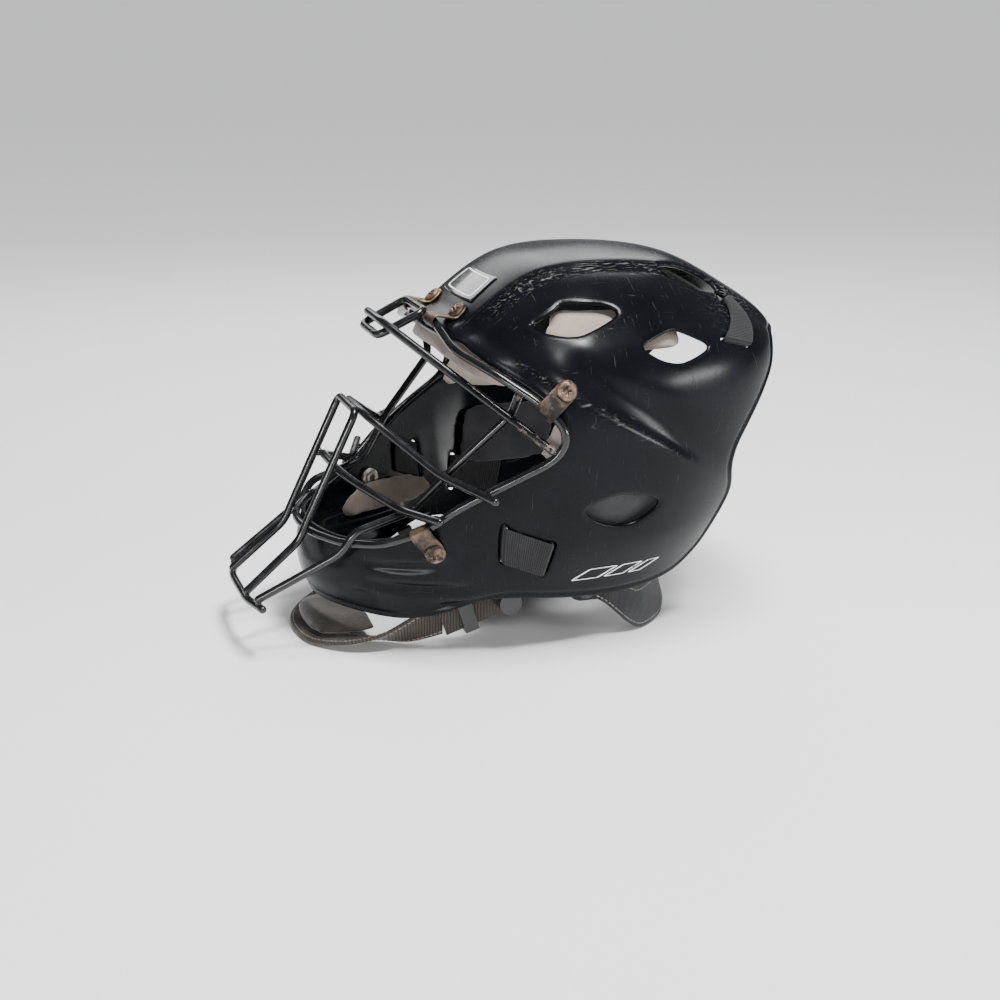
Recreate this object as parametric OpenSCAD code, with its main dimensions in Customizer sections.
// Ice hockey goalie mask: moulded shell, welded wire cage, clips, liner and straps.
// +Z is up, the mask faces -Y, and the wearer's left side is +X. The mask is
// symmetric about X = 0 and stands on its neck band and chin webbing at Z = 0.

/* [Shell] */
// Wall thickness of the moulded shell
wall = 3.2; // [2.6:0.1:4]
// Half width of the shell at its widest
half_width = 113; // [108:1:118]
// Height the raised crest stands proud of the crown
crest_height = 3.5; // [2:0.5:5]
// Distance the brow edge flares forward
brow_flare = 5; // [3:0.5:6]
// Step across the crease on the side of the shell
crease_step = 3.5; // [2:0.5:5]
// Facets around the shell
shell_sides = 56; // [48:4:64]
// Rings of facets up the shell
shell_rings = 30; // [26:1:34]

/* [Cage] */
// Diameter of the cage wires
wire_d = 5; // [4.6:0.1:5.4]
// Facets around a wire
wire_sides = 8; // [6:2:12]
// Straight pieces in each wire bend
bend_steps = 4; // [3:1:6]

/* [Clips] */
// Thickness of the clip strap
clip_t = 1.4; // [1:0.1:1.8]
// Width of the clip strap
clip_w = 13; // [11:0.5:14]
// Radius of a pan screw head
screw_head_r = 5.8; // [5:0.1:6.2]
// Radius of a screw shank
screw_r = 2.1; // [2:0.1:2.4]

/* [Liner] */
// Gap between the shell's outer face and the liner foam
liner_gap = 7; // [6.5:0.5:8]
// Thickness of the liner foam
foam_t = 9; // [6:1:11]

/* [Straps] */
// Width of the elastic webbing
webbing_w = 25; // [22:1:28]
// Thickness of the webbing
webbing_t = 2.4; // [1.8:0.1:3]
// Height of the neck band
band_h = 29; // [26:1:32]
// Radius of the hinge studs in the jaw and the neck
stud_r = 3; // [2.5:0.1:3.5]

/* [Hidden] */

black = [0.03, 0.03, 0.035];
rusty = [0.55, 0.42, 0.3];
foam_tan = [0.62, 0.55, 0.48];
webbing_grey = [0.2, 0.2, 0.21];

// Sections up the shell, from below the chin to the crown. Each one is
// [height, half width, front y, rear y, y of the widest point, front and rear roundness].
w_part = half_width / 113;
stations = [
    [-3, 58 * w_part, -100, 92, 0, 2, 2.2],
    [17, 76 * w_part, -119, 112, 2, 2, 2.2],
    [39, 89 * w_part, -132, 130, 4, 2, 2.3],
    [65, 97 * w_part, -133, 150, 8, 2, 2.4],
    [95, 105 * w_part, -117, 162, 12, 2.05, 2.5],
    [125, 111 * w_part, -87, 168, 16, 2.15, 2.5],
    [155, 112 * w_part, -64, 173, 20, 2.2, 2.5],
    [183, 106 * w_part, -51, 177, 24, 2.2, 2.5],
    [203, 89 * w_part, -29, 143, 30, 2.2, 2.4],
    [225, 61 * w_part, -1, 111, 38, 2.1, 2.2],
    [229, 28 * w_part, 23, 78, 45, 2, 2],
    [231, 0, 50.5, 50.5, 50.5, 2, 2],
    [229, -28 * w_part, 78, 23, 56, 2, 2]
];
first_t = 1;
last_t = len(stations) - 2;

// Side outlines as [y, z]: the face opening, and everything cut away behind and below.
face_outline = [
    [-200, 193], [-45, 191], [-39, 184], [-17, 170], [-4, 157], [1, 150], [2, 141], [-1, 134],
    [-15, 125], [-36, 113], [-53, 102], [-73, 85], [-92, 77], [-112, 73], [-135, 76], [-200, 78]
];
rear_outline = [
    [230, 180], [176, 180], [164, 181], [158, 174], [155, 163], [145, 150], [132, 134],
    [123, 121], [121, 108], [125, 94], [124, 85], [118, 72], [109, 52], [96, 39], [86, 35],
    [66, 32], [37, 32], [10, 34], [-29, 39], [-57, 27], [-83, 21], [-112, 25], [-150, 29],
    [-230, 31], [-230, -30], [230, -30]
];
side_vents = [
    [[-10, 200], [8, 209], [14, 213], [36, 212], [44, 209], [44, 206], [31, 201], [14, 196]],
    [[53, 189], [63, 193], [77, 197], [87, 193], [99, 187], [98, 184], [87, 180], [77, 178], [65, 181]],
    [[15, 95], [22, 99], [37, 104], [54, 101], [64, 97], [64, 92], [52, 84], [41, 82], [26, 86]]
];
// An outline as [x, y], cut straight down through the crown.
top_vent = [[43, 85], [37, 103], [38, 117], [45, 129], [56, 106], [57, 96], [50, 89]];

// Places on the shell are [angle, station]. Webbing runs between its two slots' corners.
cheek_front_slot = [[73.6, 2.96], [75, 2.91], [72.4, 3.74], [70.8, 3.79]];
cheek_rear_slot = [[84.6, 2.57], [86, 2.52], [86.4, 3.33], [84.9, 3.38]];
crown_low_slot = [[124.4, 7.2], [132.8, 6.94], [133.4, 7.04], [125, 7.3]];
crown_high_slot = [[142, 7.99], [148.6, 7.95], [149.4, 8.01], [142.8, 8.05]];
slots = [cheek_front_slot, cheek_rear_slot, crown_low_slot, crown_high_slot];

// Each clip is [angle, station] of its screw and the point where it holds the wire.
forehead_spot = [15.5, 7.75, [27, -51, 197.6]];
temple_spot = [76.8, 6.48, [109.4, -8.5, 158.4]];
cheek_spot = [56.2, 3.18, [82.7, -75.8, 83.7]];
spots = [forehead_spot, temple_spot, cheek_spot];

wire_r = wire_d / 2;
lift = 0.5;
slot_play = 0.8;
foam_out = -liner_gap;
foam_in = -liner_gap - foam_t;
jaw_axis = [-20, 32];
neck_axis = [28, 38];
strip_tilt = 17;
strip_len = 40;
strip_x = 59;
band_x = 73.5;

// ---- small maths ----
function unit(v) = v / max(norm(v), 1e-9);
function ease(a, b, x) = let (t = min(max((x - a) / (b - a), 0), 1)) t * t * (3 - 2 * t);
function bump(x, w) = exp(-pow(x / w, 2));
function mid(a, b, s) = a + (b - a) * s;
function flip(points) = [for (p = points) [-p[0], p[1], p[2]]];
function grown(corners, by) =
    let (c = (corners[0] + corners[1] + corners[2] + corners[3]) / 4, d = [by, by / 30])
    [for (q = corners) q + [sign(q[0] - c[0]) * d[0], sign(q[1] - c[1]) * d[1]]];
function turned(points) = [for (i = [len(points) - 1:-1:0]) points[i]];

// ---- the shell surface: u is the angle from the face towards the left, t the station ----
function spline(s) = [
    pow(1 - s, 3) / 6,
    (3 * pow(s, 3) - 6 * pow(s, 2) + 4) / 6,
    (-3 * pow(s, 3) + 3 * pow(s, 2) + 3 * s + 1) / 6,
    pow(s, 3) / 6
];
function station(t) =
    let (i = min(max(floor(t), 1), len(stations) - 3))
    spline(t - i) * [for (k = [-1:2]) stations[i + k]];
function plain(u, t) =
    let (
        q = station(t),
        front = cos(u) > 0,
        n = front ? q[5] : q[6],
        depth = front ? q[4] - q[2] : q[3] - q[4],
        r = 1 / pow(pow(abs(cos(u)), n) + pow(abs(sin(u)), n), 1 / n)
    )
    [q[1] * r * sin(u), q[4] - depth * r * cos(u), q[0]];
function normal(u, t) =
    let (top = min(t, last_t - 0.02))
    unit(cross(plain(u + 0.1, top) - plain(u - 0.1, top), plain(u, top + 0.01) - plain(u, top - 0.01)));
function brow_edge(u) = 7.38 - 0.8 * pow(u / 61, 2);
function relief(u, t, p) =
    let (
        x = abs(p[0]),
        above = p[2] - (174 - 0.62 * p[1]),
        side = ease(60, 85, x) * ease(130, 60, p[1]),
        crest = crest_height * ease(52, 38, x) * ease(167, 202, p[2]),
        below_step = crease_step * ease(4, -5, above) * ease(-15, 15, p[1]) * ease(42, 77, p[2]),
        above_dip = 0.85 * crease_step * bump(above - 13, 10) * ease(-5, 25, p[1]),
        a = abs(u),
        flare = brow_flare * ease(brow_edge(a) + 0.4, brow_edge(a), t) * ease(64, 44, a) * ease(4.5, 6, t)
    )
    crest + side * (below_step - above_dip) + flare;
function skin(u, t, d = 0) =
    let (p = plain(u, t))
    p + (relief(u, t, p) + d) * normal(u, t);

// ---- solids built from points ----
// A closed slab between two grids of points with the same rows and columns.
module slab(outer, inner) {
    rows = len(outer) - 1;
    cols = len(outer[0]) - 1;
    count = (rows + 1) * (cols + 1);
    function at(j, i, layer = 0) = layer * count + j * (cols + 1) + i;
    quads = [
        for (j = [0:rows - 1], i = [0:cols - 1]) [at(j, i), at(j + 1, i), at(j + 1, i + 1), at(j, i + 1)],
        for (j = [0:rows - 1], i = [0:cols - 1])
            [at(j, i, 1), at(j, i + 1, 1), at(j + 1, i + 1, 1), at(j + 1, i, 1)],
        for (i = [0:cols - 1]) [at(0, i), at(0, i + 1), at(0, i + 1, 1), at(0, i, 1)],
        for (i = [0:cols - 1]) [at(rows, i + 1), at(rows, i), at(rows, i, 1), at(rows, i + 1, 1)],
        for (j = [0:rows - 1]) [at(j + 1, 0), at(j, 0), at(j, 0, 1), at(j + 1, 0, 1)],
        for (j = [0:rows - 1]) [at(j, cols), at(j + 1, cols), at(j + 1, cols, 1), at(j, cols, 1)]
    ];
    polyhedron(
        points = concat([for (row = outer) each row], [for (row = inner) each row]),
        faces = [for (q = quads) each [[q[0], q[1], q[2]], [q[0], q[2], q[3]]]],
        convexity = 6
    );
}

// A pad that follows the shell between four [u, t] corners and two offsets.
module patch(corners, cols, rows, d_out, d_in) {
    function spot(i, j) =
        mid(mid(corners[0], corners[1], i / cols), mid(corners[3], corners[2], i / cols), j / rows);
    function layer(d) =
        [for (j = [0:rows]) [for (i = [0:cols]) let (s = spot(i, j)) skin(s[0], s[1], d)]];
    slab(layer(d_out), layer(d_in));
}

// The whole solid inside the shell surface at one offset.
module egg(d) {
    rings = shell_rings;
    n = shell_sides;
    points = concat(
        [for (j = [0:rings - 1], i = [0:n - 1]) skin(360 * i / n - 180, mid(first_t, last_t, j / rings), d)],
        [skin(0, last_t, d)]
    );
    polyhedron(
        points = points,
        faces = concat(
            [for (j = [0:rings - 2], i = [0:n - 1])
                let (a = j * n + i, b = j * n + (i + 1) % n) each [[a, a + n, b + n], [a, b + n, b]]],
            [for (i = [0:n - 1]) [(rings - 1) * n + i, rings * n, (rings - 1) * n + (i + 1) % n]],
            [[for (i = [0:n - 1]) i]]
        ),
        convexity = 10
    );
}

// A round wire along a list of points.
module wire(path, closed = false) {
    n = len(path);
    ahead = [for (i = [0:n - 1]) closed ? path[(i + 1) % n] : path[min(i + 1, n - 1)]];
    back = [for (i = [0:n - 1]) closed ? path[(i + n - 1) % n] : path[max(i - 1, 0)]];
    along = [for (i = [0:n - 1]) unit(ahead[i] - back[i])];
    function carried(v, i = 0) =
        i == n ? [] : let (w = unit(v - (v * along[i]) * along[i])) concat([w], carried(w, i + 1));
    side = carried([0.01, 0.3, 1]);
    sides = wire_sides;
    points = [
        for (i = [0:n - 1], k = [0:sides - 1])
            path[i] + wire_r * (cos(360 * k / sides) * side[i] + sin(360 * k / sides) * cross(along[i], side[i]))
    ];
    walls = [
        for (i = [0:closed ? n - 1 : n - 2], k = [0:sides - 1])
            let (a = i * sides, b = ((i + 1) % n) * sides, m = (k + 1) % sides)
            each [[a + k, b + k, b + m], [a + k, b + m, a + m]]
    ];
    ends = closed ? [] : [
        [for (k = [0:sides - 1]) k],
        [for (k = [sides - 1:-1:0]) (n - 1) * sides + k]
    ];
    polyhedron(points = points, faces = concat(walls, ends), convexity = 8);
}

// Rounds the corners of a path with a bend that starts r from each corner.
function bent(p, r, closed = false) =
    let (n = len(p))
    [
        for (i = [0:n - 1])
            let (
                a = p[(i + n - 1) % n],
                b = p[i],
                c = p[(i + 1) % n],
                ra = min(r, norm(a - b) * 0.45),
                rc = min(r, norm(c - b) * 0.45),
                from = b + unit(a - b) * ra,
                to = b + unit(c - b) * rc
            )
            each (!closed && (i == 0 || i == n - 1)) ? [b] :
                [for (k = [0:bend_steps]) let (s = k / bend_steps) mid(mid(from, b, s), mid(b, to, s), s)]
    ];

// A flat strip's outline in 2D, w thick about a centre line.
function strip_outline(line, w) =
    let (
        n = len(line),
        dir = [for (i = [0:n - 1]) unit(line[min(i + 1, n - 1)] - line[max(i - 1, 0)])],
        off = [for (d = dir) [-d[1], d[0]] * w / 2]
    )
    concat([for (i = [0:n - 1]) line[i] + off[i]], [for (i = [n - 1:-1:0]) line[i] - off[i]]);

// Puts children on the shell at [u, t] with +Z outwards and +X towards the wire.
module on_shell(spot) {
    z = normal(spot[0], spot[1]);
    origin = skin(spot[0], spot[1]);
    reach = spot[2] - origin;
    x = unit(reach - (reach * z) * z);
    y = cross(z, x);
    multmatrix([
        [x[0], y[0], z[0], origin[0]],
        [x[1], y[1], z[1], origin[1]],
        [x[2], y[2], z[2], origin[2]],
        [0, 0, 0, 1]
    ]) children();
}

module through_sides(outline) {
    rotate([90, 0, 90]) linear_extrude(height = 400, center = true) polygon(outline);
}

// ---- shell ----
module shell_cuts() {
    through_sides(face_outline);
    through_sides(rear_outline);
    for (outline = side_vents) {
        for (side = [0, 180]) {
            rotate([90, 0, 90]) mirror([0, 0, side / 180]) translate([0, 0, 20])
                linear_extrude(height = 150) polygon(outline);
        }
    }
    for (side = [0, 1]) {
        mirror([side, 0, 0]) {
            translate([0, 0, 150]) linear_extrude(height = 100) polygon(top_vent);
            for (slot = slots) {
                patch(grown(slot, slot_play), 2, 4, 6, -wall - 4);
            }
        }
    }
    for (spot = spots) {
        for (side = [0, 1]) {
            mirror([side, 0, 0]) on_shell(spot) cylinder(h = 20, r = screw_r + 0.2, center = true, $fn = 16);
        }
    }
}

module shell() {
    color(black) difference() {
        egg(0);
        egg(-wall);
        shell_cuts();
    }
}

module forehead_badge() {
    color([0.25, 0.25, 0.26]) patch([[-18, 8.02], [18, 8.02], [20, 8.7], [-20, 8.7]], 10, 6, 1, lift);
}

// ---- cage ----
rim_half = [
    [0, -51.2, 199], [27, -51, 197.6], [58.3, -48.3, 186], [88.7, -33.4, 177.3], [106.8, -12.9, 163],
    [114.2, -0.2, 150], [115.2, 1.3, 139], [112.6, -5.8, 128.9], [103.3, -32.6, 114.1],
    [93.4, -54.9, 100.9], [82.7, -75.8, 83.7], [67.8, -97, 73.7], [48.4, -115.7, 71.1],
    [24.1, -128.1, 71.4], [0, -131.8, 72.1]
];
upright_line = [
    [95.6, -21, 165.3], [84.6, -21.7, 151.2], [71.9, -53.9, 117.6], [58.6, -75.5, 90],
    [57, -110, 79.7], [55, -118, 67], [40, -165.9, 38.2]
];
brow_half = [[20, -80.5, 197.2], [111.6, -6.3, 135.3]];
cheek_half = [[19, -94, 142.5], [35, -82, 132], [72, -61.5, 114.5], [111.8, -40.5, 108]];
mouth_half = [[18, -111.2, 109.1], [31, -104, 103.5], [61, -82, 91.5], [95.4, -69, 93.7]];

// A bar that runs from the right side, across the front, to the left side.
function across(half) = concat(flip(turned(half)), half);

module cage_rim_wire() {
    far = [for (i = [len(rim_half) - 2:-1:1]) rim_half[i]];
    color(black) wire(bent(concat(rim_half, flip(far)), 7, true), true);
}

module cage_top_ring() {
    corners = [[20, -54.3, 202.4], [18.6, -83.3, 188.7], [-18.6, -83.3, 188.7], [-20, -54.3, 202.4]];
    color(black) wire(bent(corners, 6, true), true);
}

module cage_brow_bar() {
    color(black) wire(bent(across(brow_half), 9));
}

module cage_cheek_bar() {
    color(black) wire(bent(across(cheek_half), 8));
}

module cage_mouth_bar() {
    color(black) wire(bent(across(mouth_half), 8));
}

module cage_centre_loop() {
    leg = [[21, -98.5, 144], [21, -131, 77], [21, -136, 66], [22.6, -169.5, 38]];
    color(black) wire(bent(across(leg), 6));
}

module cage_left_upright() {
    color(black) wire(bent(upright_line, 6));
}

module cage_right_upright() {
    color(black) wire(bent(flip(upright_line), 6));
}

module cage_throat_wire() {
    tips = [[45, -164.5, 33.4], [22.6, -170, 33.3]];
    color(black) wire(bent(across(turned(tips)), 8));
}

// ---- clips, screws and nuts ----
module clip(spot) {
    z = normal(spot[0], spot[1]);
    arm = spot[2] - skin(spot[0], spot[1]);
    h = arm * z;
    reach = norm(arm - h * z);
    gap = wire_r + clip_t / 2 + 0.15;
    line = [
        [-7, clip_t / 2], [5, clip_t / 2], [reach - 0.5 * gap, h + 0.95 * gap], [reach + 0.4 * gap, h + 0.95 * gap],
        [reach + 0.9 * gap, h + 0.45 * gap], [reach + gap, h - 0.5 * gap]
    ];
    on_shell(spot) translate([0, 0, lift]) difference() {
        intersection() {
            rotate([90, 0, 0]) linear_extrude(height = clip_w, center = true) polygon(strip_outline(line, clip_t));
            union() {
                cylinder(h = 40, r = clip_w / 2, center = true, $fn = 48);
                translate([0, -clip_w / 2, -20]) cube([40, clip_w, 40]);
            }
        }
        cylinder(h = 30, r = screw_r + 0.2, center = true, $fn = 32);
    }
}

module forehead_clip_left() {
    color(rusty) clip(forehead_spot);
}

module forehead_clip_right() {
    color(rusty) mirror([1, 0, 0]) clip(forehead_spot);
}

module temple_clip_left() {
    color(rusty) clip(temple_spot);
}

module temple_clip_right() {
    color(rusty) mirror([1, 0, 0]) clip(temple_spot);
}

module cheek_clip_left() {
    color(rusty) clip(cheek_spot);
}

module cheek_clip_right() {
    color(rusty) mirror([1, 0, 0]) clip(cheek_spot);
}

// A pan-head screw: the head seats on the clip and the shank runs through the shell.
module screw() {
    seat = lift + clip_t + 0.05;
    difference() {
        rotate_extrude($fn = 48) polygon([
            [0, -wall - 4.8], [screw_r, -wall - 4.8], [screw_r, seat], [screw_head_r, seat],
            [screw_head_r, seat + 1.1], [screw_head_r - 0.9, seat + 1.9], [0, seat + 2.5]
        ]);
        for (turn = [0, 90]) {
            rotate([0, 0, turn]) translate([-2.9, -0.5, seat + 1]) cube([5.8, 1, 3]);
        }
    }
}

module nut() {
    difference() {
        union() {
            translate([0, 0, -wall - 2.7]) cylinder(h = 1.1, r = 6.6, $fn = 48);
            translate([0, 0, -wall - 4.4]) cylinder(h = 2, r = 3.6, $fn = 32);
        }
        cylinder(h = 40, r = screw_r + 0.05, center = true, $fn = 32);
    }
}

module at_all_spots() {
    for (spot = spots) {
        for (side = [0, 1]) {
            mirror([side, 0, 0]) on_shell(spot) children();
        }
    }
}

module clip_screws() {
    color(rusty) at_all_spots() screw();
}

module clip_nuts() {
    color([0.6, 0.58, 0.52]) at_all_spots() nut();
}

// ---- liner ----
// A strip of foam that follows the flared brow edge.
module brow_strip(d_out, d_in, inset) {
    cols = 18;
    function low(i) = let (u = mid(-52, 52, i / cols)) [u, brow_edge(u) - 0.5 + 0.12 * pow(u / 52, 6) + inset];
    function high(i) = let (u = mid(-52, 52, i / cols)) [u, brow_edge(u) + 0.5 - inset];
    function layer(d) =
        [for (j = [0:3]) [for (i = [0:cols]) let (s = mid(low(i), high(i), j / 3)) skin(s[0], s[1], d)]];
    slab(layer(d_out), layer(d_in));
}

module brow_pad() {
    color(foam_tan) brow_strip(foam_out - 2, foam_in - 1, 0);
}

module sweatband() {
    color([0.1, 0.1, 0.11]) brow_strip(foam_in - 1.6, foam_in - 4, 0.12);
}

module crown_pad() {
    color(foam_tan) patch([[-28, 8.45], [28, 8.45], [70, 10.2], [-70, 10.2]], 10, 8, foam_out, foam_in);
}

module side_pad() {
    patch([[58, 7.35], [119, 7.25], [119, 8.55], [54, 8.7]], 12, 6, foam_out, foam_in);
}

module side_pad_left() {
    color(foam_tan) side_pad();
}

module side_pad_right() {
    color(foam_tan) mirror([1, 0, 0]) side_pad();
}

module temple_pad() {
    patch([[72, 4.95], [104, 4.7], [106, 6.3], [75, 6.05]], 6, 6, foam_out, foam_in);
}

module temple_pad_left() {
    color([0.72, 0.7, 0.68]) temple_pad();
}

module temple_pad_right() {
    color([0.72, 0.7, 0.68]) mirror([1, 0, 0]) temple_pad();
}

module cheek_pad() {
    patch([[34, 2.4], [76, 2.3], [78, 3.05], [44, 3.4]], 10, 6, foam_out - 4, foam_in - 6);
}

module cheek_pad_left() {
    color([0.5, 0.42, 0.35]) cheek_pad();
}

module cheek_pad_right() {
    color([0.5, 0.42, 0.35]) mirror([1, 0, 0]) cheek_pad();
}

// A thin fabric-faced panel over the ear, behind the low vent.
module ear_liner() {
    patch([[93, 3.05], [114, 3.05], [114, 4.5], [93, 4.5]], 5, 5, foam_out, foam_out - 4);
}

module ear_liner_left() {
    color([0.1, 0.1, 0.11]) ear_liner();
}

module ear_liner_right() {
    color([0.1, 0.1, 0.11]) mirror([1, 0, 0]) ear_liner();
}

// ---- straps ----
// Webbing that crosses between the two cheek slots, with a tail inside each.
module cheek_strap() {
    outside = webbing_t + lift;
    inside = -wall - 1;
    patch([[74.4, 2.93], [85.1, 2.55], [85.6, 3.36], [71.6, 3.76]], 6, 5, outside, lift);
    patch(cheek_front_slot, 2, 5, outside, inside - webbing_t);
    patch(cheek_rear_slot, 2, 5, outside, inside - webbing_t);
    patch([[66, 3.2], [75, 2.91], [72.4, 3.74], [62.5, 4.05]], 3, 5, inside, inside - webbing_t);
    patch([[84.6, 2.57], [99, 2.35], [100, 3.2], [84.9, 3.38]], 5, 5, inside, inside - webbing_t);
}

module cheek_strap_left() {
    color(webbing_grey) cheek_strap();
}

module cheek_strap_right() {
    color(webbing_grey) mirror([1, 0, 0]) cheek_strap();
}

// A fabric loop over the crown's rear edge, from the upper slot to the lower one.
module rear_strap() {
    outside = webbing_t + lift;
    inside = -wall - 1;
    patch([[124.6, 7.26], [133, 7], [149, 7.98], [142.4, 8.02]], 5, 6, outside, lift);
    patch(crown_low_slot, 5, 2, outside, inside - webbing_t);
    patch(crown_high_slot, 5, 2, outside, inside - webbing_t);
    patch([[124, 6.7], [131.5, 6.45], [133.4, 7.04], [125, 7.3]], 5, 3, inside, inside - webbing_t);
}

module rear_strap_left() {
    color(webbing_grey) rear_strap();
}

module rear_strap_right() {
    color(webbing_grey) mirror([1, 0, 0]) rear_strap();
}

// ---- neck band and chin sling ----
// A stud along X: a broad boss on the shell's inner wall and a pin through the tab.
module stud(axis, tab_x, tab_t, wall_x) {
    translate([0, axis[0], axis[1]]) rotate([0, 90, 0]) {
        translate([0, 0, tab_x + tab_t + lift]) cylinder(h = wall_x - tab_x - tab_t - lift, r = 7, $fn = 48);
        translate([0, 0, tab_x - 2]) cylinder(h = tab_t + 4, r = stud_r, $fn = 48);
        translate([0, 0, tab_x - 2.6]) cylinder(h = 2.3, r = 5.5, $fn = 48);
    }
}

module jaw_studs() {
    color(black) for (side = [0, 1]) {
        mirror([side, 0, 0]) stud(jaw_axis, strip_x, webbing_t, 80);
    }
}

module neck_studs() {
    color(black) for (side = [0, 1]) {
        mirror([side, 0, 0]) stud(neck_axis, band_x, webbing_t, 83);
    }
}

// The bored end of the neck band.
module neck_tab() {
    translate([band_x, neck_axis[0], neck_axis[1]]) rotate([0, 90, 0]) difference() {
        union() {
            cylinder(h = webbing_t, r = 11, $fn = 64);
            translate([-11, 0, 0]) cube([22, 14, webbing_t]);
        }
        translate([0, 0, -1]) cylinder(h = webbing_t + 2, r = stud_r + 0.15, $fn = 48);
    }
}

module neck_tab_left() {
    color(black) neck_tab();
}

module neck_tab_right() {
    color(black) mirror([1, 0, 0]) neck_tab();
}

// Half way round the neck: a runs from -90 at the right tab to 90 at the left one.
module neck_band() {
    half = band_x + webbing_t / 2;
    back = 75;
    start = neck_axis[0] + 10;
    function centre(a) =
        let (y = start + (back - 10) * cos(a))
        [half * sin(a), y, band_h / 2 - 0.25 + 24 * ease(72, start - 4, y) + 4 * ease(88, 103, y)];
    function out(a) = unit([sin(a) / half, cos(a) / back, 0]);
    function lean(a) = unit([0, -0.25 * cos(a), 1]);
    function height(a) = mid(band_h, 22, pow(abs(a) / 90, 6));
    function layer(d) = [
        for (j = [0:3]) [
            for (i = [0:36])
                let (a = -90 + 5 * i)
                centre(a) + d * out(a) + (j / 3 - 0.5) * height(a) * lean(a)
        ]
    ];
    color(webbing_grey) slab(turned(layer(webbing_t / 2)), turned(layer(-webbing_t / 2)));
}

// The straight, bored strip at each end of the chin sling.
module chin_tab() {
    translate([strip_x, jaw_axis[0], jaw_axis[1]]) rotate([strip_tilt, 0, 0]) rotate([0, 90, 0]) difference() {
        union() {
            cylinder(h = webbing_t, r = webbing_w / 2 - 1, $fn = 64);
            translate([-webbing_w / 2 + 1, -strip_len, 0]) cube([webbing_w - 2, strip_len, webbing_t]);
        }
        translate([0, 0, -1]) cylinder(h = webbing_t + 2, r = stud_r + 0.15, $fn = 48);
    }
}

module chin_tab_left() {
    color(webbing_grey) chin_tab();
}

module chin_tab_right() {
    color(webbing_grey) mirror([1, 0, 0]) chin_tab();
}

// The webbing leaves the strips on edge and twists flat under the chin.
chin_route = [
    [0, -126, 1.9], [22, -122, 2.4], [38, -108, 4.4], [46, -92, 6.9], [50.6, -77, 10.7], [59.4, -57, 21]
];
chin_flat = [1, 1, 0.88, 0.68, 0.42, 0];

module chin_webbing() {
    n = len(chin_route);
    function run(i) = chin_route[min(i + 1, n - 1)] - chin_route[max(i - 1, 0)];
    function wide(i) =
        let (level = unit([run(i)[1], -run(i)[0], 0]), upright = [0, 0, 1])
        unit(chin_flat[i] * (i == 0 ? [0, -1, 0] : -sign(level[1]) * level) + (1 - chin_flat[i]) * upright);
    function thin(i) =
        let (w = wide(i), r = i == 0 ? [1, 0, 0] : unit(run(i)))
        unit(cross(r, w));
    function point(i, w, d) = chin_route[i] + w * webbing_w / 2 * wide(i) + d * thin(i);
    function row(w, d) = concat(
        flip([for (i = [n - 1:-1:1]) point(i, w, d)]),
        [for (i = [0:n - 1]) point(i, w, d)]
    );
    function layer(d) = [for (w = [-0.9, 0, 0.9]) row(w, d)];
    color([0.36, 0.31, 0.27]) slab(layer(webbing_t / 2), layer(-webbing_t / 2));
}

// A padded cup that the chin rests in, sewn to the webbing.
module chin_cup() {
    function top(x, y) = 15.5 - 5 * pow(abs(x) / 38, 2) - 0.004 * pow(y, 2);
    function grid(level) = [
        for (j = [0:6]) [
            for (i = [0:12])
                let (x = mid(-38, 38, i / 12), y = mid(-20, 20, j / 6))
                [x, -113 + y + 0.006 * x * x, level ? top(x, y) : 3.6 + 3.4 * pow(abs(x) / 38, 2)]
        ]
    ];
    color(foam_tan) slab(grid(true), grid(false));
}

// A ladder-lock slider that rides along the straight strip.
module chin_slider() {
    bar = 3;
    window = [webbing_w - 2 + 0.8, webbing_t + 0.8];
    translate([strip_x + webbing_t / 2, jaw_axis[0], jaw_axis[1]]) rotate([strip_tilt, 0, 0])
        translate([0, -24, 0]) difference() {
            cube([window[1] + 2.4, 9, window[0] + 2 * bar], center = true);
            cube([window[1], 12, window[0]], center = true);
        }
}

module chin_slider_left() {
    color(black) chin_slider();
}

module chin_slider_right() {
    color(black) mirror([1, 0, 0]) chin_slider();
}

shell();
forehead_badge();
cage_rim_wire();
cage_top_ring();
cage_brow_bar();
cage_cheek_bar();
cage_mouth_bar();
cage_centre_loop();
cage_left_upright();
cage_right_upright();
cage_throat_wire();
forehead_clip_left();
forehead_clip_right();
temple_clip_left();
temple_clip_right();
cheek_clip_left();
cheek_clip_right();
clip_screws();
clip_nuts();
brow_pad();
sweatband();
crown_pad();
side_pad_left();
side_pad_right();
temple_pad_left();
temple_pad_right();
cheek_pad_left();
cheek_pad_right();
ear_liner_left();
ear_liner_right();
cheek_strap_left();
cheek_strap_right();
rear_strap_left();
rear_strap_right();
jaw_studs();
neck_studs();
neck_tab_left();
neck_tab_right();
neck_band();
chin_tab_left();
chin_tab_right();
chin_webbing();
chin_cup();
chin_slider_left();
chin_slider_right();
